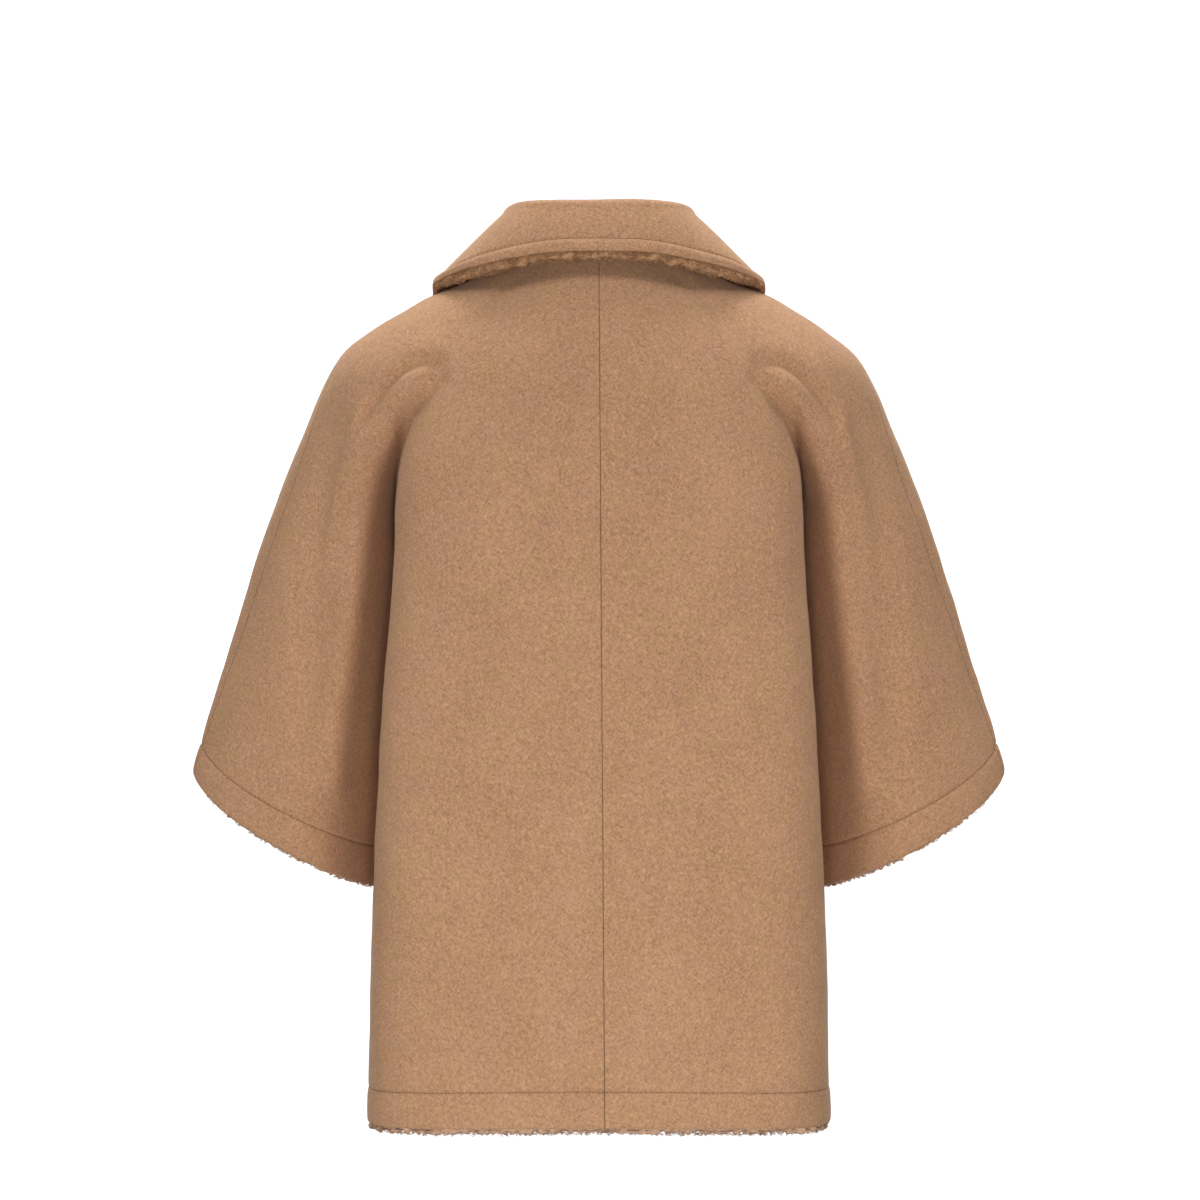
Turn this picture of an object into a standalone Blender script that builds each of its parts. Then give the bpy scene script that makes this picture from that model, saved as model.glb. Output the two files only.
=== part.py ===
"""A short camel wool cape with wide cut-in-one sleeves, hollow, as it hangs when worn.

Frame: metres, +Z up, the front faces -Y, the wearer's left is +X. The origin is the middle of the neck
opening, level with the two side neck points, where the cape rests on the shoulders.

The cloth is worked out from short tables with a row for each level. The yoke's rows are shared by body and
sleeve, from the neck down to the underarm. Below it the body carries on to the hem and the sleeve to the
cuff. Each row runs from the centre back or front, past the fold between body and sleeve, to the outside of
the arm. The tables give the wearer's left, and the right is its mirror image.
"""

import math

import bpy
import numpy as np

# Cloth, in metres.
WOOL = 0.0025  # thickness of the wool cloth
PILE = 0.0040  # reach of the curly pile facing inside hem and cuffs
COLLAR_PILE = 0.0034  # reach of the pile under the collar
GAP = 0.0003  # clearance between two sewn pieces
FACING_GAP = 0.0005  # clearance between a panel and its facing, whose flat faces bend on other diagonals
HEM_FACING = 0.033  # height of the pile facing inside the hem, up to its stitches
CUFF_FACING = 0.032  # the same inside the cuffs
HEM_PEEK = 0.004  # how far the pile shows below the hem
CUFF_PEEK = 0.0025  # the same below the cuffs
COLLAR_PEEK = 0.006  # the same below the leaf of the collar

# Front closing: the right front laps over the left one.
LAP = 0.030  # how far each front runs past the centre line
LAP_LEVEL = 0.012  # how far past the lower front's edge the upper one still stands off
LAP_EASE = 0.035  # width over which the upper front then comes back to its place
LAP_CLEAR = 0.004  # from the lower front's edge to the upper front's facing

SEAM_LEAN = 0.005  # drift of the centre back seam to the wearer's right by the hem
LEAN_REACH = 0.15  # how far from the seam the cloth leans with it

# Roundness of the sections: 2 is an ellipse, more is squarer.
BODY_POWER = {"back": 3.3, "front": 2.6}
HULL_POWER = 2.25
SLEEVE_POWER = {"back": (2.1, 1.45), "front": (2.1, 2.0)}  # towards the fold, and towards the outside
BOW_SKEW = 0.26  # how much of a sleeve row's dip lies towards the outside of the arm

# Columns of cloth in one panel.
BODY_STEPS = 8
SLEEVE_STEPS = 10
DENSE = 161  # points on a row before it is divided evenly

COLLAR_STATIONS = 15  # sections of the collar from the centre back to one end
CREST = 0.0046  # radius of the turn at the crest, between wool and pile
LEAF_RISE = 0.0015  # how far the leaf bows out between crest and edge


def table(names, *rows):
    """{column name: its values down the rows}."""
    return {name: np.array([row[i] for row in rows], float) for i, name in enumerate(names.split())}


# The yoke's centre lines, one row for each level from the neck seam to the underarm.
YOKE_CENTRE = table(
    "back_z back_y front_z front_y",
    (0.006, 0.0600, -0.0780, -0.0700),
    (-0.018, 0.0790, -0.0940, -0.0830),
    (-0.042, 0.0940, -0.1100, -0.0950),
    (-0.068, 0.1060, -0.1260, -0.1050),
    (-0.096, 0.1150, -0.1430, -0.1140),
    (-0.126, 0.1210, -0.1610, -0.1220),
    (-0.156, 0.1260, -0.1810, -0.1290),
    (-0.186, 0.1290, -0.2030, -0.1350),
    (-0.214, 0.1310, -0.2250, -0.1400),
    (-0.240, 0.1325, -0.2465, -0.1435),
    (-0.262, 0.1335, -0.2640, -0.1460),
)

# The outside of shoulder and arm. shift is how far behind it the seam between front and back lies, deep_back
# and deep_front how far the sleeve swells on either side, bow_back and bow_front how far its rows dip.
YOKE_ARM = table(
    "arm_x arm_y arm_z shift deep_back deep_front bow_back bow_front",
    (0.0820, 0.000, 0.0000, 0.000, 0.030, 0.030, 0, 0),
    (0.1180, 0.000, -0.0190, 0.000, 0.040, 0.040, 0, 0),
    (0.1480, 0.000, -0.0325, 0.002, 0.048, 0.048, 0, 0),
    (0.1780, 0.000, -0.0470, 0.006, 0.056, 0.055, 0, 0),
    (0.2050, 0.000, -0.0628, 0.012, 0.063, 0.060, 0, 0),
    (0.2270, 0.000, -0.0815, 0.018, 0.068, 0.064, 0, 0),
    (0.2425, 0.000, -0.1085, 0.023, 0.072, 0.067, 0, 0),
    (0.2555, -0.001, -0.1390, 0.026, 0.075, 0.069, 0, 0),
    (0.2668, -0.002, -0.1650, 0.027, 0.078, 0.071, 0, 0),
    (0.2775, -0.003, -0.1920, 0.027, 0.080, 0.073, 0, 0),
    (0.2875, -0.004, -0.2180, 0.026, 0.081, 0.075, 0, 0),
)

# The fold between body and sleeve, as deep as it goes once they part, and the edge of the body's back that
# stands out beside it. split is 0 where the cloth spans from body to arm, and 1 where they are two tubes. top is
# the share of the way from the fold to the outside of the arm where the sleeve stands highest.
YOKE_FOLD = table(
    "fold_x fold_y fold_back_z fold_front_z edge_x edge_y split top",
    (0.0520, 0.000, 0.003, -0.048, 0.0520, 0.000, 0.00, 0.50),
    (0.0800, 0.000, -0.026, -0.062, 0.0800, 0.000, 0.00, 0.50),
    (0.1020, 0.000, -0.051, -0.076, 0.1020, 0.000, 0.00, 0.50),
    (0.1210, 0.000, -0.076, -0.092, 0.1210, 0.000, 0.00, 0.47),
    (0.1380, -0.004, -0.099, -0.109, 0.1370, 0.005, 0.04, 0.44),
    (0.1530, -0.012, -0.121, -0.129, 0.1490, 0.013, 0.16, 0.40),
    (0.1665, -0.020, -0.146, -0.152, 0.1620, 0.022, 0.37, 0.37),
    (0.1755, -0.028, -0.175, -0.180, 0.1715, 0.032, 0.63, 0.35),
    (0.1795, -0.034, -0.205, -0.208, 0.1755, 0.042, 0.86, 0.34),
    (0.1785, -0.038, -0.234, -0.236, 0.1765, 0.048, 0.97, 0.34),
    (0.1760, -0.040, -0.250, -0.250, 0.1768, 0.052, 1.00, 0.345),
)
YOKE = YOKE_CENTRE | YOKE_ARM | YOKE_FOLD
UNDERARM = len(YOKE["split"]) - 1

# From the underarm to the hem, with the side seam at fold_x and fold_y.
BODY = table(
    "back_z back_y front_z front_y fold_x fold_y fold_back_z fold_front_z edge_x edge_y",
    (-0.295, 0.1342, -0.296, -0.1475, 0.1700, -0.030, -0.290, -0.290, 0.1790, 0.056),
    (-0.335, 0.1350, -0.336, -0.1485, 0.1680, -0.029, -0.333, -0.333, 0.1825, 0.060),
    (-0.385, 0.1358, -0.386, -0.1492, 0.1690, -0.026, -0.385, -0.385, 0.1860, 0.062),
    (-0.440, 0.1366, -0.441, -0.1500, 0.1720, -0.022, -0.441, -0.441, 0.1892, 0.061),
    (-0.505, 0.1376, -0.507, -0.1508, 0.1790, -0.014, -0.507, -0.507, 0.1928, 0.058),
    (-0.580, 0.1390, -0.583, -0.1516, 0.1890, -0.004, -0.584, -0.584, 0.1962, 0.052),
    (-0.662, 0.1405, -0.666, -0.1523, 0.1970, 0.000, -0.668, -0.668, 0.1984, 0.046),
    (-0.7405, 0.1420, -0.752, -0.1530, 0.1990, 0.000, -0.7440, -0.7440, 0.2002, 0.044),
)

# From the underarm to the cuff, with the underarm seam at fold_x and fold_y.
SLEEVE = table(
    "arm_x arm_y arm_z shift fold_x fold_y fold_back_z fold_front_z top deep_back deep_front bow_back bow_front",
    (0.3005, -0.006, -0.255, 0.024, 0.1785, -0.044, -0.300, -0.300, 0.335, 0.083, 0.077, 0.003, 0.002),
    (0.3125, -0.007, -0.293, 0.021, 0.1815, -0.048, -0.350, -0.350, 0.345, 0.084, 0.079, 0.006, 0.004),
    (0.3240, -0.009, -0.332, 0.017, 0.1845, -0.052, -0.401, -0.401, 0.360, 0.084, 0.081, 0.010, 0.006),
    (0.3360, -0.010, -0.370, 0.013, 0.1875, -0.055, -0.448, -0.448, 0.375, 0.084, 0.082, 0.011, 0.008),
    (0.3480, -0.011, -0.408, 0.009, 0.1905, -0.058, -0.497, -0.497, 0.398, 0.084, 0.083, 0.0135, 0.010),
    (0.3585, -0.012, -0.445, 0.006, 0.1935, -0.060, -0.547, -0.547, 0.405, 0.084, 0.084, 0.016, 0.012),
)

# The largest folds in the sleeves: name, height out of the cloth (less than 0 for a trough), width, and the
# line it follows as x and z from its top to its lower end.
FOLDS = (
    ("crest", 0.0050, 0.015, ((0.145, -0.092), (0.160, -0.112), (0.177, -0.140), (0.193, -0.175),
                              (0.204, -0.215), (0.211, -0.260), (0.217, -0.310), (0.228, -0.390), (0.236, -0.480))),
    ("beside the crest", -0.0030, 0.013, ((0.196, -0.100), (0.218, -0.130), (0.232, -0.165), (0.240, -0.215),
                                          (0.243, -0.260))),
    ("middle of the sleeve", -0.0030, 0.014, ((0.262, -0.285), (0.260, -0.340), (0.255, -0.400), (0.252, -0.470))),
)
FOLD_ENDS = 0.045  # length over which a fold rises at either end
SEAM_FADE = 0.16  # share of a sleeve row over which folds die away at its seams

# The collar, from the centre back to its front end. neck is the share of the way along the neck seam, rise
# the clearance over it, crest_* the middle of the turn, and edge_* the outer edge of the leaf.
COLLAR = table(
    "neck rise crest_x crest_y crest_z edge_x edge_y edge_z",
    (0.00, 0.0008, 0.000, 0.0660, 0.0435, 0.000, 0.0850, 0.0040),
    (0.12, 0.0008, 0.031, 0.0635, 0.0435, 0.043, 0.0820, 0.0030),
    (0.24, 0.0008, 0.057, 0.0520, 0.0435, 0.085, 0.0680, -0.0030),
    (0.34, 0.0010, 0.072, 0.0340, 0.0430, 0.117, 0.0460, -0.0095),
    (0.44, 0.0016, 0.078, 0.0120, 0.0400, 0.140, 0.0200, -0.0180),
    (0.54, 0.0020, 0.077, -0.0120, 0.0330, 0.149, -0.0140, -0.0230),
    (0.64, 0.0024, 0.069, -0.0380, 0.0170, 0.143, -0.0520, -0.0380),
    (0.74, 0.0032, 0.058, -0.0600, -0.0080, 0.129, -0.0850, -0.0680),
    (0.84, 0.0044, 0.042, -0.0740, -0.0340, 0.110, -0.1040, -0.1000),
    (0.93, 0.0058, 0.025, -0.0820, -0.0560, 0.090, -0.1190, -0.1230),
    (1.00, 0.0066, 0.009, -0.0870, -0.0680, 0.074, -0.1280, -0.1400),
)


def slopes(values, corner):
    """The tangent at each row. At the corner row it is the one that comes from above, for both tubes."""
    found = np.gradient(values)
    if corner:
        found[corner] = values[corner] - values[corner - 1]
    return found


def at(columns, row, corner=0):
    """The table's columns at a row that may lie between two, on a smooth curve through the rows."""
    low = min(int(row), len(next(iter(columns.values()))) - 2)
    s = row - low
    found = {}
    for name, values in columns.items():
        m = slopes(values, corner)
        found[name] = float(
            values[low] * (1 + 2 * s) * (1 - s) ** 2
            + m[low] * s * (1 - s) ** 2
            + values[low + 1] * s * s * (3 - 2 * s)
            + m[low + 1] * s * s * (s - 1)
        )
    return found


def carried_on(yoke, tube):
    """The yoke's rows with the tube's below them. A column that the tube doesn't have keeps its last value."""
    count = len(next(iter(tube.values())))
    return {
        name: np.concatenate([values, tube.get(name, np.full(count, values[-1]))])
        for name, values in yoke.items()
    }


BODY_PATH = carried_on(YOKE, BODY)
SLEEVE_PATH = carried_on(YOKE, SLEEVE)
HEM = len(BODY_PATH["split"]) - 1
CUFF = len(SLEEVE_PATH["split"]) - 1


def smooth(t):
    """0 up to t = 0, 1 from t = 1 on, and a soft step between."""
    t = np.clip(t, 0, 1)
    return t * t * (3 - 2 * t)


def hull_depth(row, side, x):
    """Depth of the cloth that spans from the centre to the arm without dipping between them."""
    reach = np.clip(np.abs(x) / row["arm_x"], 0, 1)
    return row["arm_y"] + (row[side + "_y"] - row["arm_y"]) * (1 - reach**HULL_POWER) ** (1 / HULL_POWER)


def body_arc(row, side):
    """A row from the centre line to the fold or side seam. The back turns in again behind its edge."""
    turn = np.linspace(0, math.pi / 2, DENSE)
    power = BODY_POWER[side]
    out, deep = np.sin(turn) ** (2 / power), np.cos(turn) ** (2 / power)
    edge_x, edge_y = (row["edge_x"], row["edge_y"]) if side == "back" else (row["fold_x"], row["fold_y"])
    x, parted = edge_x * out, edge_y + (row[side + "_y"] - edge_y) * deep
    if side == "back":
        back_in = np.linspace(0, 1, DENSE // 3)[1:]
        x = np.concatenate([x, edge_x + (row["fold_x"] - edge_x) * smooth(back_in)])
        parted = np.concatenate([parted, edge_y + (row["fold_y"] - edge_y) * back_in])
    spanned = hull_depth(row, side, x)
    z = row[side + "_z"] + (row[f"fold_{side}_z"] - row[side + "_z"]) * np.clip(x / row["fold_x"], 0, 1) ** 2
    return np.stack([x, spanned + row["split"] * (parted - spanned), z], axis=1)


def sleeve_arc(row, side):
    """A row from the fold or underarm seam, round the sleeve, to the outside of the arm."""
    turn = np.linspace(math.pi, 0, DENSE)
    over = np.cos(turn)
    power = np.where(over < 0, *SLEEVE_POWER[side])
    part = np.where(over < 0, row["top"], 1 - row["top"])
    share = row["top"] + part * np.sign(over) * np.abs(over) ** (2 / power)
    swell = np.sin(turn) ** (2 / power)
    x = row["fold_x"] + (row["arm_x"] - row["fold_x"]) * share
    way = 1 if side == "back" else -1
    parted = row["fold_y"] + (row["arm_y"] - row["fold_y"]) * share + way * row["deep_" + side] * swell
    spanned = hull_depth(row, side, x)
    across = 2 * share - 1
    dip = row["bow_" + side] * np.sqrt(np.clip(1 - across**2, 0, 1)) * (1 + 2 * BOW_SKEW * across)
    fold_z = row[f"fold_{side}_z"]
    z = fold_z + (row["arm_z"] - fold_z) * share - dip
    return np.stack([x, spanned + row["split"] * (parted - spanned), z], axis=1)


def lengths(points):
    """How far along a line each of its points lies."""
    return np.concatenate([[0], np.cumsum(np.linalg.norm(np.diff(points, axis=0), axis=1))])


def part_of(points, start, end):
    """The stretch of a line between two lengths along it."""
    along = lengths(points)
    ends = [[np.interp(s, along, points[:, k]) for k in range(3)] for s in (start, end)]
    inside = points[(along > start + 1e-7) & (along < end - 1e-7)]
    return np.concatenate([ends[:1], inside, ends[1:]])


def evenly(points, count):
    """count + 1 points spaced evenly along a line."""
    along = lengths(points)
    wanted = np.linspace(0, along[-1], count + 1)
    return np.stack([np.interp(wanted, along, points[:, k]) for k in range(3)], axis=1)


def from_x(points, start):
    """A body row that starts at x = start, which lies beyond the centre line, on the other side."""
    other = points[(points[:, 0] < -start) & (points[:, 0] > 0)][::-1] * [-1, 1, 1]
    end = [[start, *(np.interp(-start, points[:, 0], points[:, k]) for k in (1, 2))]]
    return np.concatenate([end, other, points])


def body_row(level, side, count=BODY_STEPS, start=0.0):
    """A body row divided evenly, at a level counted in rows from the neck seam."""
    points = body_arc(at(BODY_PATH, level, UNDERARM), side)
    return evenly(from_x(points, start) if start else points, count)


def sleeve_row(level, side, count=SLEEVE_STEPS):
    """A sleeve row divided evenly, from the fold to the seam, which lies a little behind the outside."""
    row = at(SLEEVE_PATH, level, UNDERARM)
    back, front = sleeve_arc(row, "back"), sleeve_arc(row, "front")
    seam = lengths(back)[-1] - row["shift"]
    if side == "back":
        return evenly(part_of(back, 0, seam), count)
    return evenly(np.concatenate([front, part_of(back, seam, np.inf)[::-1][1:]]), count)


def fold_height(points, along_row):
    """How far the largest folds lift the cloth of a sleeve. along_row is 0 at the fold and 1 at the seam."""
    found = np.zeros(len(points))
    for _, height, width, line in FOLDS:
        line = np.array(line)
        away, reach, total = np.full(len(points), np.inf), np.zeros(len(points)), 0.0
        for a, b in zip(line, line[1:]):
            step = b - a
            length = np.linalg.norm(step)
            s = np.clip((points[:, [0, 2]] - a) @ step / length**2, 0, 1)
            distance = np.linalg.norm(points[:, [0, 2]] - a - s[:, None] * step, axis=1)
            nearer = distance < away
            away[nearer], reach[nearer] = distance[nearer], total + s[nearer] * length
            total += length
        ends = smooth(reach / FOLD_ENDS) * smooth((total - reach) / FOLD_ENDS)
        found += height * ends * np.exp(-((away / width) ** 2))
    return found * smooth(np.minimum(along_row, 1 - along_row) / SEAM_FADE)


def turned(quads):
    """The quads facing the other way, each with its first corner kept, so that it still bends on one diagonal."""
    return quads[:, [0, 3, 2, 1]]


def vertex_normals(points, quads):
    """Area-weighted normals of a mesh of quads."""
    a, b, c, d = (points[quads[:, i]] for i in range(4))
    face = np.cross(c - a, d - b)
    found = np.zeros_like(points)
    for i in range(4):
        np.add.at(found, quads[:, i], face)
    return found / np.linalg.norm(found, axis=1)[:, None]


class Cloth:
    """A sheet of quads that face out of the garment, with its points, normals and named rows of indices."""

    def __init__(self, side):
        self.side, self.points, self.quads = side, [], []

    def add(self, line):
        first = len(self.points)
        self.points.extend(line)
        return list(range(first, first + len(line)))

    def join(self, rows):
        for upper, lower in zip(rows, rows[1:]):
            for i in range(len(upper) - 1):
                quad = [upper[i], lower[i], lower[i + 1], upper[i + 1]]
                self.quads.append(quad)

    def finish(self):
        self.points, self.quads = np.array(self.points), np.array(self.quads)
        if self.side == "back":
            self.quads = turned(self.quads)
        self.normals = vertex_normals(self.points, self.quads)


class Panel(Cloth):
    """The back or front half of the wearer's left side, with body and sleeve cut in one."""

    def __init__(self, side, start=0.0):
        super().__init__(side)
        steps = BODY_STEPS + (2 if start else 0)
        yoke = []
        for level in range(UNDERARM + 1):
            sleeve = sleeve_row(level, side)[1:]
            yoke.append(self.add(np.concatenate([body_row(level, side, steps, start), sleeve])))
        body, sleeve = [yoke[-1][: steps + 1]], [yoke[-1][steps:]]
        body += [self.add(body_row(level, side, steps, start)) for level in range(UNDERARM + 1, HEM + 1)]
        sleeve += [self.add(sleeve_row(level, side)) for level in range(UNDERARM + 1, CUFF + 1)]
        for rows in (yoke, body, sleeve):
            self.join(rows)
        self.finish()
        along = np.zeros(len(self.points))
        for row in [r[steps:] for r in yoke] + sleeve[1:]:
            along[row] = np.linspace(0, 1, SLEEVE_STEPS + 1)
        self.points += self.normals * fold_height(self.points, along)[:, None]
        self.normals = vertex_normals(self.points, self.quads)
        arm = yoke + sleeve[1:]
        self.fork = yoke[-1][steps]
        self.hem, self.cuff = body[-2:], sleeve[-2:]
        self.centre = [r[0] for r in yoke + body[1:]]
        self.seams = [(r[-1], r[-2]) for r in arm + body[1:]] + [(r[0], r[1]) for r in sleeve[1:]]


class Facing(Cloth):
    """A band of pile inside a hem or cuff, on its panel's own rows, from the stitches to below the edge."""

    def __init__(self, panel, rows, above, below):
        super().__init__(panel.side)
        upper, last = (panel.points[row] for row in rows)
        upper_normals, last_normals = (panel.normals[row] for row in rows)
        reach = np.linalg.norm(last - upper, axis=1).mean()
        levels = (1 - above / reach, 1 - above / reach / 2, 1, 1 + below / reach)
        self.join([self.add(upper + (last - upper) * level) for level in levels])
        normals = np.concatenate([upper_normals + (last_normals - upper_normals) * level for level in levels])
        self.finish()
        self.normals = normals / np.linalg.norm(normals, axis=1)[:, None]


def sew(back, front):
    """Gives two panels the same normals along the seams that join them, and parts them there by GAP."""
    for (a, _), (b, _) in zip(back.seams, front.seams):
        both = back.normals[a] + front.normals[b]
        back.normals[a] = front.normals[b] = both / np.linalg.norm(both)
    back.normals[back.fork] = front.normals[front.fork] = (0, 0, -1)
    for cloth, way in ((back, 1), (front, -1)):
        cloth.normals[cloth.centre, 0] = 0
        cloth.normals /= np.linalg.norm(cloth.normals, axis=1)[:, None]
        for seam, inside in cloth.seams:
            step = cloth.points[inside] - cloth.points[seam]
            cloth.points[seam] += step / np.linalg.norm(step) * GAP / 2
        cloth.points[cloth.fork, 1] += way * GAP / 2
    back.points[back.centre, 0] += GAP / 2


def lean(points, side):
    """Moves the middle of the back with the drift of its seam. The sides stay where they are."""
    if side != "back":
        return points
    drop = np.clip(points[:, 2] / BODY["back_z"][-1], 0, 1)
    middle = np.clip(1 - np.abs(points[:, 0]) / LEAN_REACH, 0, 1)
    return points - np.outer(SEAM_LEAN * drop * middle**2, [1, 0, 0])


def lap_lift(x, hand):
    """How far the right front stands off to lie over the left one. x runs out on its own side."""
    if hand == "left":
        return np.zeros_like(x)
    return (WOOL + 3 * GAP) * smooth((LAP + LAP_LEVEL + LAP_EASE - x) / LAP_EASE)


def mirrored(points, hand):
    return points if hand == "left" else points * [-1, 1, 1]


def material(name, colour, roughness):
    """A plain cloth material."""
    made = bpy.data.materials.new(name)
    made.use_nodes = True
    shader = made.node_tree.nodes["Principled BSDF"]
    shader.inputs["Base Color"].default_value = (*colour, 1)
    shader.inputs["Roughness"].default_value = roughness
    shader.inputs["Metallic"].default_value = 0.0
    return made


def shell(name, outer, inner, quads, finish):
    """One closed solid between two skins with the same quads, which face out on the outer skin.

    Each face of the rim bends from its higher outer corner, so that the rims of two sewn pieces match.
    """
    open_edges = {}
    for quad in quads:
        for a, b in zip(quad, np.roll(quad, -1)):
            if (b, a) in open_edges:
                del open_edges[(b, a)]
            else:
                open_edges[(a, b)] = True
    n = len(outer)
    faces = [tuple(map(int, q)) for q in quads]
    faces += [tuple(int(i) + n for i in q) for q in turned(quads)]
    for a, b in ((int(a), int(b)) for a, b in open_edges):
        a_higher = outer[a][2] >= outer[b][2]
        faces.append((a, a + n, b + n, b) if a_higher else (b, a, a + n, b + n))
    mesh = bpy.data.meshes.new(name)
    mesh.from_pydata(np.concatenate([outer, inner]).tolist(), [], faces)
    mesh.materials.append(finish)
    mesh.shade_smooth()
    mesh.set_sharp_from_angle(angle=math.radians(50))
    made = bpy.data.objects.new(name, mesh)
    bpy.context.scene.collection.objects.link(made)
    return made


def cloth_object(name, cloth, hand, depths, finish):
    """The wall of a cloth between two depths below its surface, on the wearer's left or right."""
    base = cloth.points
    if cloth.side == "front":
        base = base + cloth.normals * lap_lift(base[:, 0], hand)[:, None]
    skins = [lean(mirrored(base - cloth.normals * depth, hand), cloth.side) for depth in depths]
    quads = cloth.quads if hand == "left" else turned(cloth.quads)
    return shell(f"{name}_{hand}", *skins, quads, finish)


def panels_and_facings(wool, pile):
    """The two backs and the two fronts, with the pile inside their hems and cuffs."""
    back, front = Panel("back"), Panel("front", -LAP)
    sew(back, front)
    depths = (WOOL + FACING_GAP, WOOL + FACING_GAP + PILE)
    clear = int(np.argmax(front.points[front.hem[-1], 0] > LAP + LAP_CLEAR))
    for hand in ("left", "right"):
        for cloth in (back, front):
            cloth_object(cloth.side, cloth, hand, (0, WOOL), wool)
            under_lap = clear if cloth is front and hand == "right" else 0
            hem = Facing(cloth, [row[under_lap:] for row in cloth.hem], HEM_FACING, HEM_PEEK)
            cuff = Facing(cloth, cloth.cuff, CUFF_FACING, CUFF_PEEK)
            cloth_object(f"hem_facing_{cloth.side}", hem, hand, depths, pile)
            cloth_object(f"cuff_facing_{cloth.side}", cuff, hand, depths, pile)


def neck_line():
    """The neck seam on the wearer's left, from the centre back to the centre front."""
    halves = [
        np.concatenate([body_row(0, side), sleeve_row(0, side)[1:]]) for side in ("back", "front")
    ]
    return np.concatenate([halves[0], halves[1][::-1][1:]])


def collar_section(station, neck):
    """Points from the neck seam up the stand, over the crest, down the leaf to its edge and on to the pile's."""
    row = at(COLLAR, station)
    along = lengths(neck)
    foot = np.array([np.interp(row["neck"] * along[-1], along, neck[:, k]) for k in range(3)])
    foot[2] += row["rise"]
    crest, edge = (np.array([row[f"{end}_{axis}"] for axis in "xyz"]) for end in ("crest", "edge"))
    out = (edge - crest) * [1, 1, 0]
    out /= np.linalg.norm(out)
    up = np.array([0, 0, 1])
    points = [foot, (foot + crest - CREST * out) / 2]
    points += [crest + CREST * (-math.cos(t) * out + math.sin(t) * up) for t in np.linspace(0, math.pi, 5)]
    start = points[-1]
    leaf_out = np.cross(np.cross(edge - start, out), edge - start)
    leaf_out *= np.sign(leaf_out @ out) / np.linalg.norm(leaf_out)
    for f in (0.25, 0.5, 0.75, 1):
        points.append(start + (edge - start) * f + leaf_out * LEAF_RISE * math.sin(math.pi * f))
    down = edge - points[-2]
    return points + [edge + down / np.linalg.norm(down) * COLLAR_PEEK]


def collar(wool, pile):
    """The wool upper side and the pile underside, from one front end round the neck to the other."""
    neck = neck_line()
    sections = [
        np.array(collar_section(s, neck))
        for s in np.linspace(0, len(COLLAR["neck"]) - 1, COLLAR_STATIONS)
    ]
    ring = np.array([s * [-1, 1, 1] for s in sections[:0:-1]] + sections)
    under, upper = Cloth("front"), Cloth("front")
    under.join([under.add(section) for section in ring])
    under.finish()
    shell("under_collar", under.points, under.points - under.normals * COLLAR_PILE, under.quads, pile)
    upper.join([upper.add(section[:-1]) for section in ring])
    upper.finish()
    normals = under.normals.reshape(ring.shape)[:, :-1].reshape(-1, 3)
    outer, inner = (upper.points + normals * height for height in (GAP + WOOL, GAP))
    shell("collar", outer, inner, upper.quads, wool)


def main():
    for thing in list(bpy.data.objects):
        bpy.data.objects.remove(thing, do_unlink=True)
    wool = material("wool", (0.50, 0.295, 0.168), 0.9)
    pile = material("pile", (0.33, 0.17, 0.075), 1.0)
    panels_and_facings(wool, pile)
    collar(wool, pile)


main()
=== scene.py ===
"""The looks of the camel wool cape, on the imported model.

The frame is the model's, in metres: +Z up, the front faces -Y, the wearer's left is +X. The cloth repeats
the model's tables and sections with many more rows and columns. Only the shoulders beside the collar lie up
to 4.5 mm higher here, and the collar's edge on them up to 3 mm further in. What is too fine for the model is
added: rolled edges, creases, dents along the stitches, stitches and curls.
"""

import math
from collections import namedtuple

import bpy
import numpy as np
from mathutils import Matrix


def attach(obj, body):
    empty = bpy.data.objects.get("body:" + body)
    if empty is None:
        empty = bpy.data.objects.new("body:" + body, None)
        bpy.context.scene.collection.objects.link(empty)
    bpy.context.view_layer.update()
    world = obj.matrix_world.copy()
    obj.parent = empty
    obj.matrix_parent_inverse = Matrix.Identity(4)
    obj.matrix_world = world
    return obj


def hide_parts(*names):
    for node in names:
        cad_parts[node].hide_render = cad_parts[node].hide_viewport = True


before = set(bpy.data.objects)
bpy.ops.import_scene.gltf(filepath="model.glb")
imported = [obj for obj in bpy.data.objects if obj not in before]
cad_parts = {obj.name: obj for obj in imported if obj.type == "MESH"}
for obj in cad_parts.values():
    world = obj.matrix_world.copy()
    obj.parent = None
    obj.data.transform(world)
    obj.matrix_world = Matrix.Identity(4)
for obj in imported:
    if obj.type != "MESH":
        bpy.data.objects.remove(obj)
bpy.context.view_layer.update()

# Cloth, in metres, as in the model.
WOOL = 0.0025
GAP = 0.0003  # between pieces at a seam
FACING_GAP = 0.0005  # between the wool and the pile inside hem and cuffs
PEEK = {"hem": 0.0036, "cuff": 0.0010}  # less than in the model, whose layer of pile is its curls too
LAP = 0.030  # how far each front reaches past the centre line
LAP_LEVEL = 0.012  # how far past the lap the right front stays level before it comes down
LAP_EASE = 0.035  # the width over which it comes down
LAP_CLEAR = 0.004  # how far past the lap the pile in its hem starts
SEAM_LEAN = 0.005  # drift of the centre back seam from neck to hem
LEAN_REACH = 0.15
BODY_POWER = {"back": 3.3, "front": 2.6}  # how square a section is, here and in the next two lines
HULL_POWER = 2.25
SLEEVE_POWER = {"back": (2.1, 1.45), "front": (2.1, 2.0)}  # towards the fold, and towards the outside
BOW_SKEW = 0.26  # how far the bow of the sleeves' rows leans to the outside
CREST = 0.0046  # radius of the collar's upper edge
LEAF_RISE = 0.0015  # how far the collar's leaf bulges
SEAM_FADE = 0.16  # the share of a sleeve's row over which the folds fade out at either end

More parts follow.
